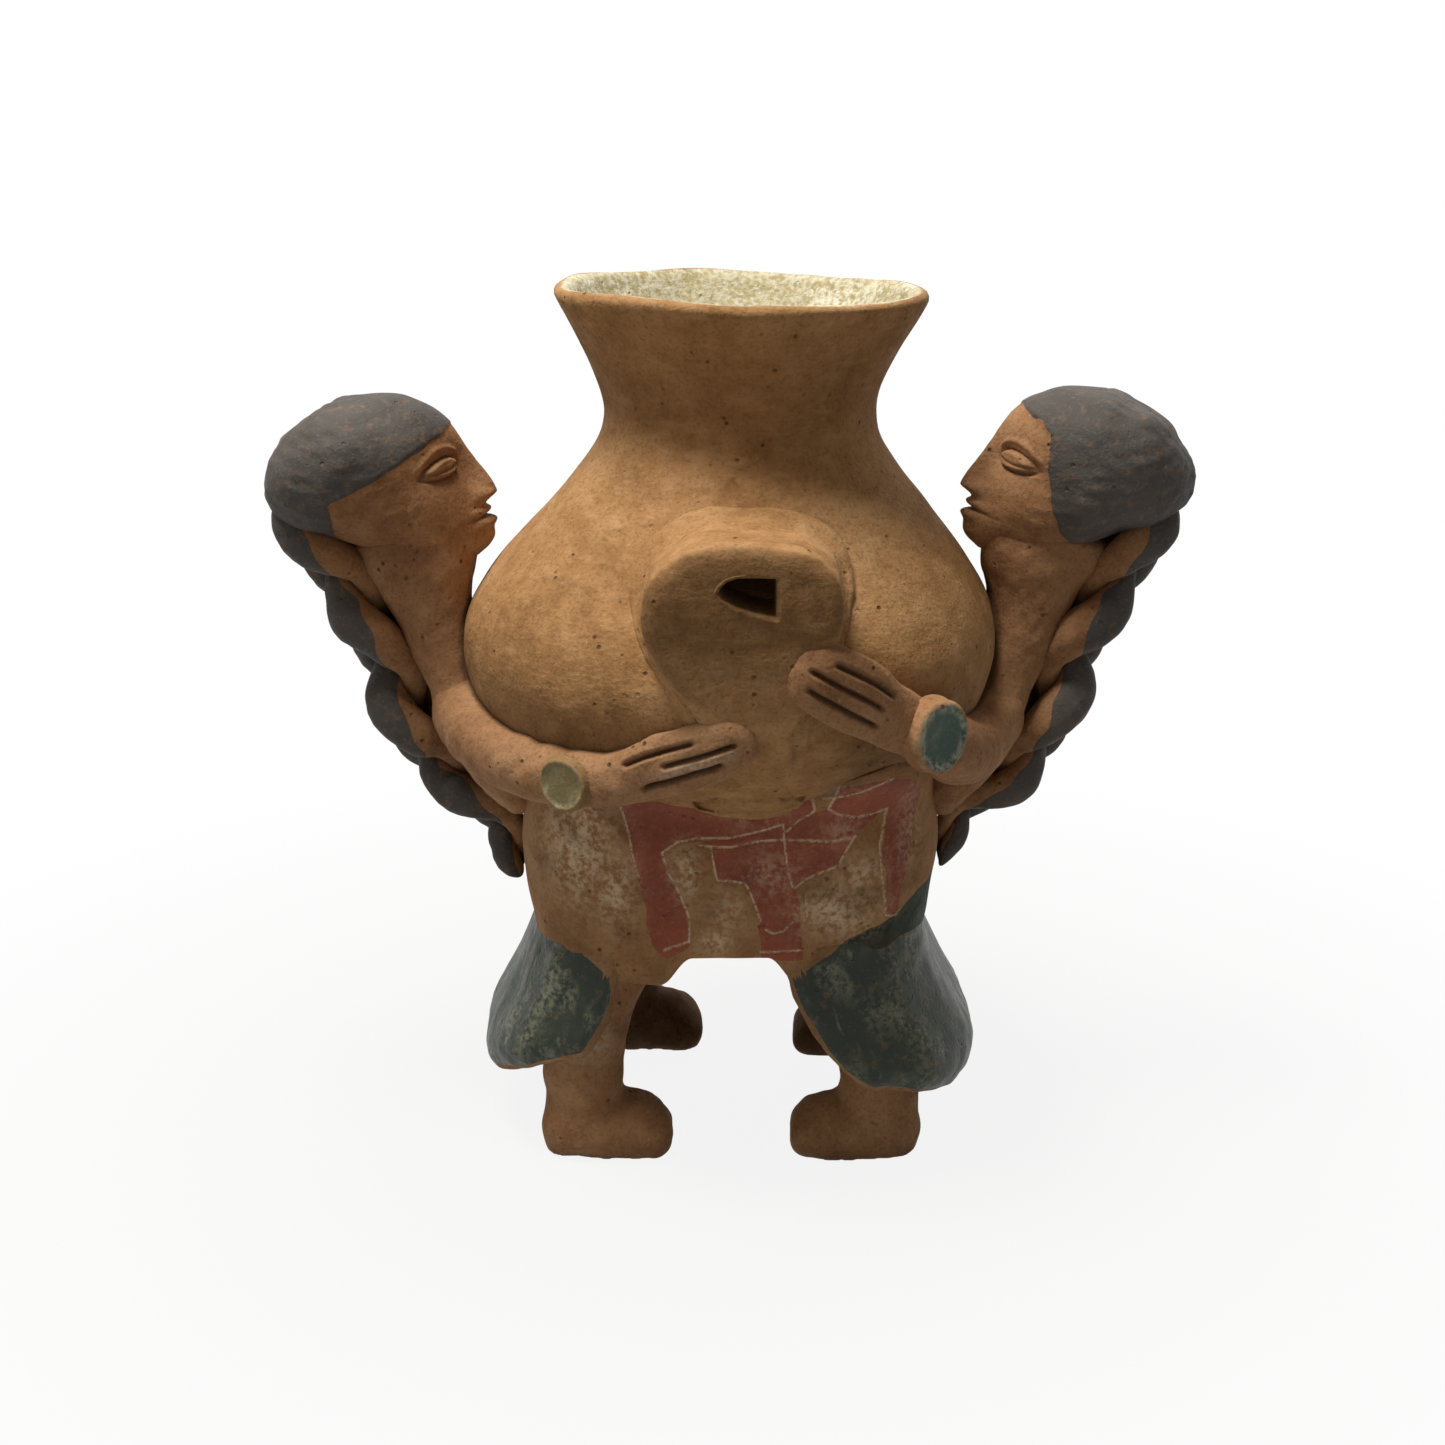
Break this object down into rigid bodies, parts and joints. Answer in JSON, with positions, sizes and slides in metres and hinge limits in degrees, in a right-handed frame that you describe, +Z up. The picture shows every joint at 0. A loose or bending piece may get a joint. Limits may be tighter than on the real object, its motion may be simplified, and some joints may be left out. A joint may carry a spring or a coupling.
{
  "type": "figural vase",
  "caption": "Hand-built earthenware vase: a flared pot embraced by two standing figures with plaited hair, on an oval drum of joined skirts with legs.",
  "frame": {"origin": "on the ground under the middle of the pot, at the bottom centre of the whole vase", "axes": "+X from the left figure to the right figure, -Y towards the front with the buttress and its finger hole, +Z up"},
  "size_m": [0.2634, 0.1676, 0.2477],
  "materials": {
    "bare_clay": "matte",
    "pot_clay": "matte",
    "red_slip": "matte",
    "grey_slip": "matte",
    "green_slip": "matte"
  },
  "bodies": {
    "root": {"vessel": "pot_clay", "front_boss": "pot_clay", "drum": "red_slip", "torso_left": "bare_clay", "torso_right": "bare_clay", "head_left": "bare_clay", "head_right": "bare_clay", "plait_strand_left_1": "grey_slip", "plait_strand_left_2": "grey_slip", "plait_strand_left_3": "grey_slip", "plait_strand_right_1": "grey_slip", "plait_strand_right_2": "grey_slip", "plait_strand_right_3": "grey_slip", "near_arm_left": "bare_clay", "near_arm_right": "bare_clay", "far_arm_left": "bare_clay", "far_arm_right": "bare_clay", "near_wrist_disc_left": "green_slip", "near_wrist_disc_right": "green_slip", "far_wrist_disc_left": "green_slip", "far_wrist_disc_right": "green_slip", "skirt_flap_left": "green_slip", "skirt_flap_right": "green_slip", "near_leg_left": "bare_clay", "near_leg_right": "bare_clay", "far_leg_left": "bare_clay", "far_leg_right": "bare_clay"}
  },
  "joints": []
}
